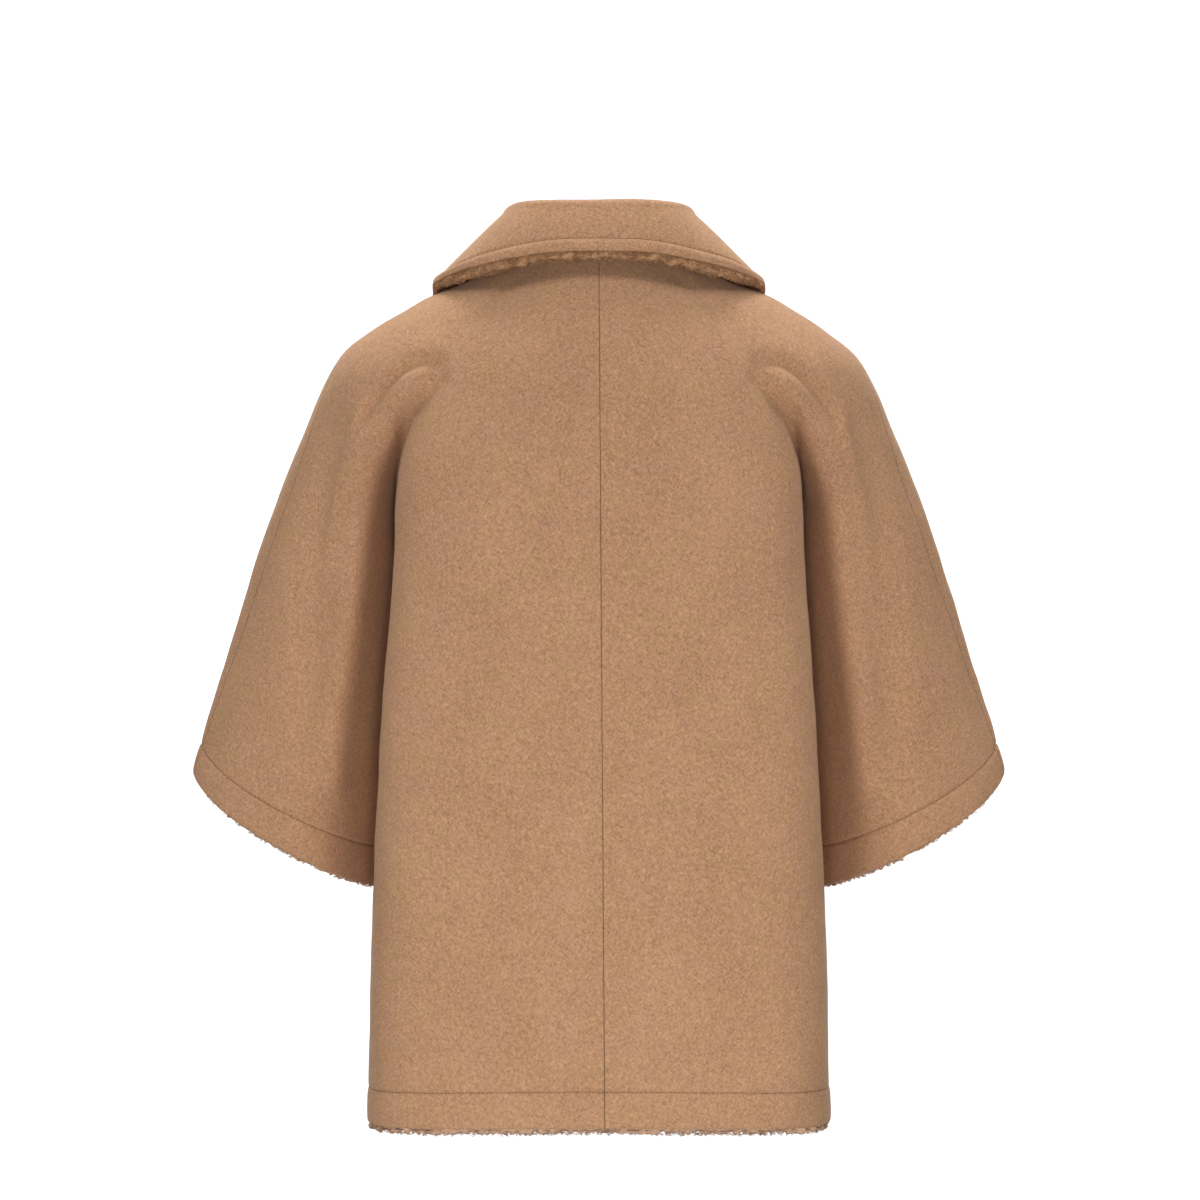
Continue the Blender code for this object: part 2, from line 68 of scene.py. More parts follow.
# How finely the cloth is divided here.
DENSE = 321  # points on a row before it is divided into columns
BODY_COLUMNS = 56
SLEEVE_COLUMNS = 68
NEAR_EDGE = (0, 0.0026, 0.0044, 0.0068, 0.0098)  # the first columns, measured from a panel's edge
ROWS_PER_LEVEL = 7
COLLAR_STATIONS = 141
POINTS_TO_STITCH = 40  # on a section of the collar, from the neck seam to its stitches
CREST_POINTS = 15
LEAF_POINTS = 25
ROLL_STEPS = 6  # faces round a rolled edge
SEAM_TOUCH = 0.0002  # how far two panels press into each other at a seam

# Levels of the hem's and cuffs' lines of stitches, and how far apart the next rows lie there, in metres.
STITCH_LEVEL = {"hem": 17.605, "cuff": 15.330}
ROWS_AT_STITCH = (-0.0065, -0.0040, -0.0025, -0.0015, -0.0007, 0, 0.0007, 0.0015, 0.0025, 0.0040, 0.0065)
ROWS_APART = 0.0018  # an even row that lies closer than this to one of those is left out
LAST_LEVEL = {"hem": 0.080, "cuff": 0.046}  # length of the last level, in metres


def table(names, *rows):
    """{column name: its values down the rows}."""
    return {name: np.array([row[i] for row in rows], float) for i, name in enumerate(names.split())}


YOKE_CENTRE = table(
    "back_z back_y front_z front_y",
    (0.006, 0.0600, -0.0780, -0.0700),
    (-0.018, 0.0790, -0.0940, -0.0830),
    (-0.042, 0.0940, -0.1100, -0.0950),
    (-0.068, 0.1060, -0.1260, -0.1050),
    (-0.096, 0.1150, -0.1430, -0.1140),
    (-0.126, 0.1210, -0.1610, -0.1220),
    (-0.156, 0.1260, -0.1810, -0.1290),
    (-0.186, 0.1290, -0.2030, -0.1350),
    (-0.214, 0.1310, -0.2250, -0.1400),
    (-0.240, 0.1325, -0.2465, -0.1435),
    (-0.262, 0.1335, -0.2640, -0.1460),
)

YOKE_ARM = table(
    "arm_x arm_y arm_z shift deep_back deep_front bow_back bow_front",
    (0.0820, 0.000, 0.0000, 0.000, 0.030, 0.030, 0, 0),
    (0.1180, 0.000, -0.0165, 0.000, 0.040, 0.040, 0, 0),
    (0.1480, 0.000, -0.0280, 0.002, 0.048, 0.048, 0, 0),
    (0.1780, 0.000, -0.0450, 0.006, 0.056, 0.055, 0, 0),
    (0.2050, 0.000, -0.0628, 0.012, 0.063, 0.060, 0, 0),
    (0.2270, 0.000, -0.0815, 0.018, 0.068, 0.064, 0, 0),
    (0.2425, 0.000, -0.1085, 0.023, 0.072, 0.067, 0, 0),
    (0.2555, -0.001, -0.1390, 0.026, 0.075, 0.069, 0, 0),
    (0.2668, -0.002, -0.1650, 0.027, 0.078, 0.071, 0, 0),
    (0.2775, -0.003, -0.1920, 0.027, 0.080, 0.073, 0, 0),
    (0.2875, -0.004, -0.2180, 0.026, 0.081, 0.075, 0, 0),
)

YOKE_FOLD = table(
    "fold_x fold_y fold_back_z fold_front_z edge_x edge_y split top",
    (0.0520, 0.000, 0.003, -0.048, 0.0520, 0.000, 0.00, 0.50),
    (0.0800, 0.000, -0.026, -0.062, 0.0800, 0.000, 0.00, 0.50),
    (0.1020, 0.000, -0.051, -0.076, 0.1020, 0.000, 0.00, 0.50),
    (0.1210, 0.000, -0.076, -0.092, 0.1210, 0.000, 0.00, 0.47),
    (0.1380, -0.004, -0.099, -0.109, 0.1370, 0.005, 0.04, 0.44),
    (0.1530, -0.012, -0.121, -0.129, 0.1490, 0.013, 0.16, 0.40),
    (0.1665, -0.020, -0.146, -0.152, 0.1620, 0.022, 0.37, 0.37),
    (0.1755, -0.028, -0.175, -0.180, 0.1715, 0.032, 0.63, 0.35),
    (0.1795, -0.034, -0.205, -0.208, 0.1755, 0.042, 0.86, 0.34),
    (0.1785, -0.038, -0.234, -0.236, 0.1765, 0.048, 0.97, 0.34),
    (0.1760, -0.040, -0.250, -0.250, 0.1768, 0.052, 1.00, 0.345),
)
YOKE = YOKE_CENTRE | YOKE_ARM | YOKE_FOLD
UNDERARM = len(YOKE["split"]) - 1

# Half the width over which the fold between body and sleeve is rounded off at each level of the yoke.
FOLD_SOFT = (0.010, 0.010, 0.010, 0.012, 0.014, 0.014, 0.013, 0.009, 0.004, 0.002, 0.001)
SOFT_STEP = 0.0005  # distance between the places at which that is worked out

BODY = table(
    "back_z back_y front_z front_y fold_x fold_y fold_back_z fold_front_z edge_x edge_y",
    (-0.295, 0.1342, -0.296, -0.1475, 0.1700, -0.030, -0.290, -0.290, 0.1790, 0.056),
    (-0.335, 0.1350, -0.336, -0.1485, 0.1680, -0.029, -0.333, -0.333, 0.1825, 0.060),
    (-0.385, 0.1358, -0.386, -0.1492, 0.1690, -0.026, -0.385, -0.385, 0.1860, 0.062),
    (-0.440, 0.1366, -0.441, -0.1500, 0.1720, -0.022, -0.441, -0.441, 0.1892, 0.061),
    (-0.505, 0.1376, -0.507, -0.1508, 0.1790, -0.014, -0.507, -0.507, 0.1928, 0.058),
    (-0.580, 0.1390, -0.583, -0.1516, 0.1890, -0.004, -0.584, -0.584, 0.1962, 0.052),
    (-0.662, 0.1405, -0.666, -0.1523, 0.1970, 0.000, -0.668, -0.668, 0.1984, 0.046),
    (-0.7405, 0.1420, -0.752, -0.1530, 0.1990, 0.000, -0.7440, -0.7440, 0.2002, 0.044),
)

SLEEVE = table(
    "arm_x arm_y arm_z shift fold_x fold_y fold_back_z fold_front_z top"
    " deep_back deep_front bow_back bow_front",
    (0.3005, -0.006, -0.255, 0.024, 0.1785, -0.044, -0.300, -0.300, 0.335, 0.083, 0.077, 0.003, 0.002),
    (0.3125, -0.007, -0.293, 0.021, 0.1815, -0.048, -0.350, -0.350, 0.345, 0.084, 0.079, 0.006, 0.004),
    (0.3240, -0.009, -0.332, 0.017, 0.1845, -0.052, -0.401, -0.401, 0.360, 0.084, 0.081, 0.010, 0.006),
    (0.3360, -0.010, -0.370, 0.013, 0.1875, -0.055, -0.448, -0.448, 0.375, 0.084, 0.082, 0.011, 0.008),
    (0.3480, -0.011, -0.408, 0.009, 0.1905, -0.058, -0.497, -0.497, 0.398, 0.084, 0.083, 0.0135, 0.010),
    (0.3585, -0.012, -0.445, 0.006, 0.1935, -0.060, -0.547, -0.547, 0.405, 0.084, 0.084, 0.016, 0.012),
)

# Folds in the sleeves: name, height out of the cloth (less than 0 for a trough), width, length over which it
# rises at either end, and its line as x and z from its top down. The first three are the model's, redrawn.
FOLDS = (
    ("crest", 0.0066, 0.0130, 0.022, (
        (0.143, -0.098), (0.158, -0.111), (0.174, -0.131), (0.189, -0.157), (0.200, -0.185), (0.207, -0.212),
        (0.211, -0.247), (0.214, -0.282), (0.219, -0.326), (0.228, -0.390), (0.236, -0.480))),
    ("beside the crest", -0.0030, 0.0140, 0.045, (
        (0.208, -0.105), (0.224, -0.135), (0.235, -0.165), (0.243, -0.210), (0.244, -0.260), (0.246, -0.340),
        (0.254, -0.420))),
    ("middle of the sleeve", -0.0020, 0.0140, 0.045, (
        (0.262, -0.285), (0.260, -0.340), (0.255, -0.400), (0.252, -0.470))),
    ("second crest", 0.0028, 0.0070, 0.030, (
        (0.197, -0.116), (0.210, -0.143), (0.217, -0.170), (0.226, -0.200), (0.234, -0.250),
        (0.237, -0.300))),
    ("arch over the crest", -0.0064, 0.0056, 0.014, (
        (0.129, -0.100), (0.136, -0.092), (0.147, -0.088), (0.158, -0.090), (0.170, -0.098), (0.184, -0.111),
        (0.199, -0.130), (0.210, -0.150))),
    ("mouth of the valley", -0.0056, 0.0070, 0.012, (
        (0.129, -0.096), (0.137, -0.106), (0.150, -0.125), (0.161, -0.143))),
    ("outer ridge", 0.0020, 0.0120, 0.045, ((0.266, -0.260), (0.270, -0.340), (0.278, -0.430))),
)

# The collar from the centre back to its end at the front: the share of the neck seam at its foot, the foot's
# rise, the crest, the leaf's edge, and how far the pile peeks out below it.
COLLAR = table(
    "neck rise crest_x crest_y crest_z edge_x edge_y edge_z peek",
    (0.00, 0.0008, 0.000, 0.0660, 0.0435, 0.000, 0.0850, 0.0040, 0.0055),
    (0.12, 0.0008, 0.031, 0.0635, 0.0435, 0.043, 0.0820, 0.0030, 0.0055),
    (0.24, 0.0008, 0.057, 0.0520, 0.0435, 0.085, 0.0680, -0.0030, 0.0080),
    (0.34, 0.0010, 0.072, 0.0340, 0.0430, 0.117, 0.0460, -0.0095, 0.0080),
    (0.44, 0.0016, 0.078, 0.0120, 0.0400, 0.139, 0.0200, -0.0168, 0.0024),
    (0.54, 0.0020, 0.077, -0.0120, 0.0330, 0.146, -0.0140, -0.0212, 0.0002),
    (0.64, 0.0024, 0.069, -0.0380, 0.0170, 0.143, -0.0520, -0.0380, 0.0006),
    (0.74, 0.0032, 0.058, -0.0600, -0.0080, 0.129, -0.0850, -0.0680, 0.0020),
    (0.84, 0.0044, 0.042, -0.0740, -0.0340, 0.110, -0.1040, -0.1000, 0.0030),
    (0.93, 0.0058, 0.025, -0.0820, -0.0560, 0.090, -0.1190, -0.1230, 0.0040),
    (1.00, 0.0066, 0.009, -0.0870, -0.0680, 0.074, -0.1280, -0.1400, 0.0050),
)
COLLAR_STITCH = 0.0115  # from the leaf's edge up to its stitches


# ---- Sections of the cloth, as in the model ----


def slopes(values, corner):
    """The tangent at each row. At the corner row it is the one that comes from above, for both tubes."""
    found = np.gradient(values)
    if corner:
        found[corner] = values[corner] - values[corner - 1]
    return found


def at(columns, row, corner=0):
    """The table's columns at a row that may lie between two, on a smooth curve through the rows."""
    low = min(int(row), len(next(iter(columns.values()))) - 2)
    s = row - low
    found = {}
    for name, values in columns.items():
        m = slopes(values, corner)
        found[name] = float(
            values[low] * (1 + 2 * s) * (1 - s) ** 2
            + m[low] * s * (1 - s) ** 2
            + values[low + 1] * s * s * (3 - 2 * s)
            + m[low + 1] * s * s * (s - 1)
        )
    return found


def carried_on(yoke, tube):
    """The yoke's rows with the tube's below them. A column that the tube lacks keeps its last value."""
    count = len(next(iter(tube.values())))
    return {
        name: np.concatenate([values, tube.get(name, np.full(count, values[-1]))])
        for name, values in yoke.items()
    }


BODY_PATH = carried_on(YOKE, BODY)
SLEEVE_PATH = carried_on(YOKE, SLEEVE)
HEM = len(BODY_PATH["split"]) - 1
CUFF = len(SLEEVE_PATH["split"]) - 1


def smooth(t):
    """0 up to t = 0, 1 from t = 1 on, and a soft step between."""
    t = np.clip(t, 0, 1)
    return t * t * (3 - 2 * t)


def hull_depth(row, side, x):
    """Depth of the cloth that spans from the centre to the arm without dipping between them."""
    reach = np.clip(np.abs(x) / row["arm_x"], 0, 1)
    return row["arm_y"] + (row[side + "_y"] - row["arm_y"]) * (1 - reach**HULL_POWER) ** (1 / HULL_POWER)


def body_arc(row, side):
    """A row from the centre line to the fold or side seam. The back turns in again behind its edge."""
    turn = np.linspace(0, math.pi / 2, DENSE)
    power = BODY_POWER[side]
    out, deep = np.sin(turn) ** (2 / power), np.cos(turn) ** (2 / power)
    edge_x, edge_y = (row["edge_x"], row["edge_y"]) if side == "back" else (row["fold_x"], row["fold_y"])
    x, parted = edge_x * out, edge_y + (row[side + "_y"] - edge_y) * deep
    if side == "back":
        back_in = np.linspace(0, 1, DENSE // 3)[1:]
        x = np.concatenate([x, edge_x + (row["fold_x"] - edge_x) * smooth(back_in)])
        parted = np.concatenate([parted, edge_y + (row["fold_y"] - edge_y) * back_in])
    spanned = hull_depth(row, side, x)
    z = row[side + "_z"] + (row[f"fold_{side}_z"] - row[side + "_z"]) * np.clip(x / row["fold_x"], 0, 1) ** 2
    return np.stack([x, spanned + row["split"] * (parted - spanned), z], axis=1)


def sleeve_arc(row, side):
    """A row from the fold or underarm seam, round the sleeve, to the outside of the arm."""
    turn = np.linspace(math.pi, 0, DENSE)
    over = np.cos(turn)
    power = np.where(over < 0, *SLEEVE_POWER[side])
    part = np.where(over < 0, row["top"], 1 - row["top"])
    share = row["top"] + part * np.sign(over) * np.abs(over) ** (2 / power)
    swell = np.sin(turn) ** (2 / power)
    x = row["fold_x"] + (row["arm_x"] - row["fold_x"]) * share
    way = 1 if side == "back" else -1
    parted = row["fold_y"] + (row["arm_y"] - row["fold_y"]) * share + way * row["deep_" + side] * swell
    spanned = hull_depth(row, side, x)
    across = 2 * share - 1
    dip = row["bow_" + side] * np.sqrt(np.clip(1 - across**2, 0, 1)) * (1 + 2 * BOW_SKEW * across)
    fold_z = row[f"fold_{side}_z"]
    z = fold_z + (row["arm_z"] - fold_z) * share - dip
    return np.stack([x, spanned + row["split"] * (parted - spanned), z], axis=1)


def size_of(vectors):
    return np.linalg.norm(vectors, axis=-1)


def unit(vectors):
    return vectors / size_of(vectors)[..., None]


def lengths(points):
    """How far along a line each of its points lies."""
    return np.concatenate([[0], np.cumsum(size_of(np.diff(points, axis=0)))])


def values_at(line, values, wanted):
    """What vectors that are given at the points of a line are at these lengths along it."""
    along = lengths(line)
    return np.stack([np.interp(wanted, along, values[:, k]) for k in range(3)], axis=1)


def points_at(line, wanted):
    return values_at(line, line, wanted)


def part_of(points, start, end):
    """The stretch of a line between two lengths along it."""
    along = lengths(points)
    inside = points[(along > start + 1e-7) & (along < end - 1e-7)]
    ends = points_at(points, [start, end])
    return np.concatenate([ends[:1], inside, ends[1:]])


def from_x(points, start):
    """A body row that starts at x = start, which may lie beyond the centre line, on the other side."""
    if start >= 0:
        return points
    other = points[(points[:, 0] < -start) & (points[:, 0] > 0)][::-1] * [-1, 1, 1]
    end = [[start, *(np.interp(-start, points[:, 0], points[:, k]) for k in (1, 2))]]
    return np.concatenate([end, other, points])


def softened(line, middle, reach):
    """A row whose depth is rounded off on either side of its fold, which lies at the length middle."""
    along = lengths(line)
    even = np.arange(0, along[-1], SOFT_STEP)
    depth = np.interp(even, along, line[:, 1])
    count = int(3 * reach / SOFT_STEP)
    weights = np.exp(-0.5 * (np.arange(-count, count + 1) * SOFT_STEP / reach) ** 2)
    padded = np.pad(depth, count, mode="edge")
    rounded = np.convolve(padded, weights / weights.sum(), mode="valid")
    there = smooth(2 - np.abs(along - middle) / (3 * reach))
    found = line.copy()
    found[:, 1] += there * (np.interp(along, even, rounded) - line[:, 1])
    return found


def yoke_lines(level, side):
    """The body's and the sleeve's part of one row of the yoke."""
    row = at(YOKE, level)
    body, sleeve = body_arc(row, side), sleeve_arc(row, side)
    reach = float(np.interp(level, range(len(FOLD_SOFT)), FOLD_SOFT))
    whole = softened(np.concatenate([body, sleeve[1:]]), lengths(body)[-1], reach)
    return whole[: len(body)], whole[len(body) - 1 :]


def lines_at(level, side):
    """The body's and the sleeve's part of a row. Below the underarm each is at its own level."""
    if level <= UNDERARM:
        return yoke_lines(level, side)
    body = body_arc(at(BODY_PATH, level, UNDERARM), side) if level <= HEM else None
    sleeve = sleeve_arc(at(SLEEVE_PATH, level, UNDERARM), side) if level <= CUFF else None
    return body, sleeve


def columns(length, count):
    """How far along a row its columns lie: close together at either end and even between."""
    near = np.array(NEAR_EDGE)
    middle = np.linspace(near[-1], length - near[-1], count)
    return np.concatenate([near[:-1], middle, length - near[-2::-1]])


def body_row(level, side, start=0.0):
    """A body row from x = start to the fold or side seam."""
    line = from_x(lines_at(level, side)[0], start)
    return points_at(line, columns(lengths(line)[-1], BODY_COLUMNS))


def sleeve_row(level, side):
    """A sleeve row from the fold to the seam, which lies a little behind the outside of the arm."""
    back, front = (lines_at(level, s)[1] for s in ("back", "front"))
    seam = lengths(back)[-1] - at(SLEEVE_PATH, level, UNDERARM)["shift"]
    line = part_of(back, 0, seam)
    if side == "front":
        line = np.concatenate([front, part_of(back, seam, np.inf)[::-1][1:]])
    return points_at(line, columns(lengths(line)[-1], SLEEVE_COLUMNS))


def levels_to(last, part):
    """The levels of a tube's rows below the underarm, with more of them beside its stitches and its edge."""
    stitch, last_length = STITCH_LEVEL[part], LAST_LEVEL[part]
    found = set(np.linspace(UNDERARM, last, (last - UNDERARM) * ROWS_PER_LEVEL + 1).round(5))
    wanted = [round(stitch - away / last_length, 5) for away in ROWS_AT_STITCH]
    wanted += [round(last - away / last_length, 5) for away in NEAR_EDGE[1:]]
    kept = [level for level in found if min(abs(level - w) for w in wanted) > ROWS_APART / last_length]
    return sorted([*kept, *wanted])[1:]


# ---- Relief: what lifts or dents the cloth out of its section ----

RIPPLES = 9  # plane waves in different directions, of which a ripple is the mean
RIPPLE_RATES = (0.7, 1.4)  # their least and greatest frequency, where 1 is that of the size asked for


def fold_height(points, along_row):
    """How far the folds lift a sleeve's cloth. They fade as along_row nears 0, its fold, or 1, its seam."""
    found = np.zeros(len(points))
    for _, height, width, end, line in FOLDS:
        line = np.array(line)
        away, reach, total = np.full(len(points), np.inf), np.zeros(len(points)), 0.0
        for a, b in zip(line, line[1:]):
            step = b - a
            length = size_of(step)
            s = np.clip((points[:, [0, 2]] - a) @ step / length**2, 0, 1)
            distance = size_of(points[:, [0, 2]] - a - s[:, None] * step)
            nearer = distance < away
            away[nearer], reach[nearer] = distance[nearer], total + s[nearer] * length
            total += length
        ends = smooth(reach / end) * smooth((total - reach) / end)
        found += height * ends * np.exp(-((away / width) ** 2))
    return found * smooth(np.minimum(along_row, 1 - along_row) / SEAM_FADE)


def ripple(points, size, seed):
    """Smooth, random, repeatable swelling of about this size, from -1 to 1."""
    chance = np.random.default_rng(seed)
    ways = unit(chance.normal(size=(RIPPLES, 3)))
    waves = points @ ways.T * (2 * math.pi / size) * chance.uniform(*RIPPLE_RATES, RIPPLES)
    return np.sin(waves + chance.uniform(0, 2 * math.pi, RIPPLES)).mean(axis=1)


STITCH_DENTS = ((-0.0010, 0.0012), (-0.0003, 0.0045))  # height and width of the dent and of its wide foot
PANEL_PUFF = 0.0007  # how far the cloth puffs out between the stitches and the edge
COLLAR_PUFF = 0.0016
PANEL_UNEVEN = ((0.0011, 0.075, 3), (0.0006, 0.030, 8))  # height, size and seed of the slight unevenness
COLLAR_UNEVEN = (0.0009, 0.060, 21)


def stitch_dent(below, band, puff):
    """Height of the cloth at a distance below a line of stitches. Over the width band it puffs out there."""
    dent = sum(height * np.exp(-((below / width) ** 2)) for height, width in STITCH_DENTS)
    share = np.clip(below / band, 0, 1)
    return dent + puff * np.sin(math.pi * share) ** 0.7 * (share > 0) * (share < 1)


# ---- Meshes ----


def turned(quads):
    return quads[:, [0, 3, 2, 1]]


def quad_normals(points, quads):
    """The normal of each quad, twice as long as its area."""
    a, b, c, d = (points[quads[:, i]] for i in range(4))
    return np.cross(c - a, d - b)


def vertex_normals(points, quads):
    """Area-weighted normals of a mesh of quads."""
    face = quad_normals(points, quads)
    found = np.zeros_like(points)
    for i in range(4):
        np.add.at(found, quads[:, i], face)
    return found / np.maximum(size_of(found), 1e-12)[:, None]


class Cloth:
    """A sheet of quads that face out of the garment, with its points, normals and rows of indices."""

    def __init__(self, side):
        self.side, self.points, self.quads = side, [], []

    def add(self, line):
        first = len(self.points)
        self.points.extend(line)
        return list(range(first, first + len(line)))

    def join(self, rows):
        for upper, lower in zip(rows, rows[1:]):
            for i in range(len(upper) - 1):
                self.quads.append([upper[i], lower[i], lower[i + 1], upper[i + 1]])

    def finish(self):
        self.points, self.quads = np.array(self.points), np.array(self.quads)
        if self.side == "back":
            self.quads = turned(self.quads)
        self.normals = vertex_normals(self.points, self.quads)
        self.area = float(size_of(quad_normals(self.points, self.quads)).sum() / 2)


class Panel(Cloth):
    """The back or front half of one side, with body and sleeve cut in one."""

    def __init__(self, side, start=0.0):
        super().__init__(side)
        body_levels, sleeve_levels = levels_to(HEM, "hem"), levels_to(CUFF, "cuff")
        yoke_levels = np.linspace(0, UNDERARM, UNDERARM * ROWS_PER_LEVEL + 1)
        steps = len(columns(1, BODY_COLUMNS)) - 1
        yoke = [
            self.add(np.concatenate([body_row(level, side, start), sleeve_row(level, side)[1:]]))
            for level in yoke_levels
        ]
        body, sleeve = [yoke[-1][: steps + 1]], [yoke[-1][steps:]]
        body += [self.add(body_row(level, side, start)) for level in body_levels]
        sleeve += [self.add(sleeve_row(level, side)) for level in sleeve_levels]
        for rows in (yoke, body, sleeve):
            self.join(rows)
        self.finish()
        self.body, self.sleeve = np.array(body), np.array(sleeve)
        self.tubes = {
            "hem": (self.body, np.array([UNDERARM, *body_levels])),
            "cuff": (self.sleeve, np.array([UNDERARM, *sleeve_levels])),
        }
        self.along = np.zeros(len(self.points))
        for row in [r[steps:] for r in yoke] + sleeve[1:]:
            done = lengths(self.points[row])
            self.along[row] = done / done[-1]
        for level, row in zip(yoke_levels, yoke):
            joined = smooth(1 - 2 * at(YOKE, level)["split"])
            self.along[row] = np.maximum(self.along[row], joined * SEAM_FADE)
        self.fork = yoke[-1][steps]
        self.centre = [r[0] for r in yoke + body[1:]]
        arm = yoke + sleeve[1:]
        self.overarm = [r[-1] for r in arm]
        self.seams = [(r[-1], r[-2]) for r in arm + body[1:]] + [(r[0], r[1]) for r in sleeve[1:]]
        self.points += self.normals * fold_height(self.points, self.along)[:, None]
        self.normals = vertex_normals(self.points, self.quads)

    def dent(self):
        """Height of the cloth by the stitches of hem and cuff."""
        height = np.zeros(len(self.points))
        for part, (rows, levels) in self.tubes.items():
            below = (levels - STITCH_LEVEL[part]) * LAST_LEVEL[part]
            height[rows.ravel()] += np.repeat(stitch_dent(below, below[-1], PANEL_PUFF), rows.shape[1])
        return height


def sew(back, front):
    """Gives two panels the same normals along the seams that join them, and presses them together there."""
    for (a, _), (b, _) in zip(back.seams, front.seams):
        back.normals[a] = front.normals[b] = unit(back.normals[a] + front.normals[b])
    back.normals[back.fork] = front.normals[front.fork] = (0, 0, -1)
    for cloth, way in ((back, 1), (front, -1)):
        cloth.normals[cloth.centre, 0] = 0
        cloth.normals = unit(cloth.normals)
        for seam, inside in cloth.seams:
            cloth.points[seam] -= unit(cloth.points[inside] - cloth.points[seam]) * SEAM_TOUCH / 2
        cloth.points[cloth.fork, 1] -= way * SEAM_TOUCH / 2
    back.points[back.centre, 0] -= SEAM_TOUCH / 2


def lean(points, side):
    """Moves the middle of the back with the drift of its seam. The sides stay where they are."""
    if side != "back":
        return points
    drop = np.clip(points[:, 2] / BODY["back_z"][-1], 0, 1)
    middle = np.clip(1 - np.abs(points[:, 0]) / LEAN_REACH, 0, 1)
    return points - np.outer(SEAM_LEAN * drop * middle**2, [1, 0, 0])


def lap_lift(x, hand):
    """How far the right front stands off to lie over the left one. x runs out on its own side."""
    if hand == "left":
        return np.zeros_like(x)
    return (WOOL + 3 * GAP) * smooth((LAP + LAP_LEVEL + LAP_EASE - x) / LAP_EASE)


def mirrored(points, hand):
    return points if hand == "left" else points * [-1, 1, 1]


def edge_loops(quads):
    """The open edges of a sheet, as pairs of indices that run round it."""
    ends = np.concatenate([quads[:, [i, (i + 1) % 4]] for i in range(4)])
    keys = ends[:, 0] * (quads.max() + 1) + ends[:, 1]
    back = ends[:, 1] * (quads.max() + 1) + ends[:, 0]
    return ends[~np.isin(keys, back)]


def rolled_shell(outer, normals, quads, thick):
    """Points and faces of a cloth of this thickness under an outer skin, with round edges."""
    edges = edge_loops(quads)
    radius = thick / 2
    out = np.zeros_like(outer)
    for a, b in edges:
        way = unit(np.cross(outer[b] - outer[a], normals[a] + normals[b]))
        out[a] += way
        out[b] += way
    rim = np.unique(edges)
    out[rim] = unit(out[rim])
    outer = outer.copy()
    outer[rim] -= out[rim] * radius
    inner = outer - normals * thick
    turns = np.linspace(math.pi / 2, -math.pi / 2, ROLL_STEPS + 1)[1:-1]
    ring = [
        outer[rim] + out[rim] * radius * math.cos(t) + normals[rim] * radius * (math.sin(t) - 1)
        for t in turns
    ]
    n, place = len(outer), np.zeros(len(outer), int)
    place[rim] = np.arange(len(rim))
    loops = [np.arange(n)] + [2 * n + k * len(rim) + place for k in range(len(turns))] + [np.arange(n) + n]
    faces = [quads, turned(quads) + n]
    for upper, lower in zip(loops, loops[1:]):
        corners = (upper[edges[:, 1]], upper[edges[:, 0]], lower[edges[:, 0]], lower[edges[:, 1]])
        faces.append(np.stack(corners, axis=1))
    return np.concatenate([outer, inner, *ring]), np.concatenate(faces)


def new_mesh(name, points, faces, finish):
    """A smooth mesh object with one material."""
    mesh = bpy.data.meshes.new(name)
    mesh.from_pydata(points.tolist(), [], faces)
    mesh.materials.append(finish)
    mesh.shade_smooth()
    made = bpy.data.objects.new(name, mesh)
    bpy.context.scene.collection.objects.link(made)
    return made


def mesh_object(name, points, faces, finish):
    """A piece of the cape, which rides on its only body."""
    made = new_mesh(name, points, faces.tolist(), finish)
    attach(made, "root")
    return made


def tube_faces(rings, sides):
    """The quads of a tube whose points lie ring after ring."""
    ring, k = np.meshgrid(np.arange(rings - 1), np.arange(sides), indexing="ij")
    a, b = ring * sides + k, ring * sides + (k + 1) % sides
    return np.stack([a, b, b + sides, a + sides], axis=-1).reshape(-1, 4)


def on_side(cloth, lift, hand):
    """The points, normals and quads of a sheet that is lifted out of its section, on its side."""
    if cloth.side == "front":
        lift = lift + lap_lift(cloth.points[:, 0], hand)
    skin = lean(mirrored(cloth.points + cloth.normals * lift[:, None], hand), cloth.side)
    quads = cloth.quads if hand == "left" else turned(cloth.quads)
    return skin, mirrored(cloth.normals, hand), quads


def panel_object(name, cloth, hand, finish):
    """One of the four panels, with its skin before its edges are rolled, which its stitches follow."""
    world = mirrored(cloth.points, hand)
    uneven = sum(height * ripple(world, size, seed) for height, size, seed in PANEL_UNEVEN)
    skin, normals, quads = on_side(cloth, cloth.dent() + uneven, hand)
    points, faces = rolled_shell(skin, normals, quads, WOOL)
    made = mesh_object(f"{name}_cloth", points, faces, finish)
    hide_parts(name)
    return made, skin, normals


# ---- Stitches ----

THREAD_SIDES = 6
STITCH_PITCH = 0.0036
STITCH_LENGTH = 0.0031
THREAD_RADIUS = 0.00036
STITCH_RINGS = ((-0.5, 0.0), (-0.38, 0.9), (0.38, 0.9), (0.5, 0.0))  # place along a stitch, and radius there
SEAM_DEPTH = 0.00062


def circle(count):
    """Angles spread evenly round a circle."""
    return 2 * math.pi * np.arange(count) / count


def axes_along(way, up):
    """Three axes at right angles: along a thread, across it, and out of the cloth."""
    way = unit(way)
    across = unit(np.cross(up, way))
    return way, across, np.cross(way, across)


